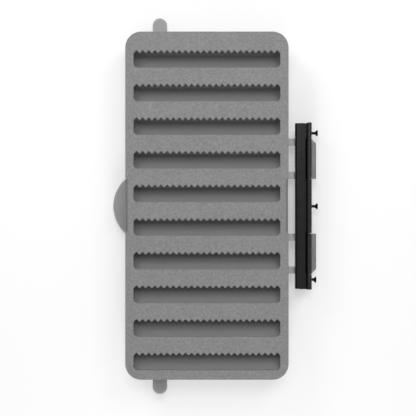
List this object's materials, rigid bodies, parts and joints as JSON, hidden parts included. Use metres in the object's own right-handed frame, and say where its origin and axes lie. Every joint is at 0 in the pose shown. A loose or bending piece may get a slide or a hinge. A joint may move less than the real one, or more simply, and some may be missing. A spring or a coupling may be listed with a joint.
{
  "type": "fly box swing leaf",
  "caption": "Double-sided fly box page with toothed slots for fly hooks, a thumb tab and a pinned hinge whose rail screws to the spine of the box.",
  "frame": {"origin": "below the middle of the whole part, on the surface that the rear face of the leaf rests on", "axes": "+X from the free edge of the leaf to the hinge, +Y along the hinge towards the top of the page, +Z out of the front face"},
  "size_m": [0.1092, 0.2006, 0.0176],
  "materials": {
    "panel_sheet": "matte, finely grained",
    "tray_plastic": "smooth satin",
    "core_plastic": "smooth satin",
    "black_plastic": "satin black",
    "black_steel": "black oxide",
    "plain_steel": "drawn"
  },
  "bodies": {
    "rail": {"mounting_rail": "black_plastic", "hinge_pin": "plain_steel", "mounting_screw_upper": "black_steel", "mounting_screw_middle": "black_steel", "mounting_screw_lower": "black_steel"},
    "leaf": {"core_plate": "core_plastic", "front_tray": "tray_plastic", "rear_tray": "tray_plastic", "front_comb_panel": "panel_sheet", "rear_comb_panel": "panel_sheet", "hinge_bar": "black_plastic", "strap_screws": "black_steel"}
  },
  "joints": [
    {"name": "leaf_swing", "type": "hinge", "parent": "rail", "child": "leaf", "pos_m": [0.0497, 0, 0.0111], "axis": [0, 1, 0], "range_deg": [0, 180]}
  ]
}
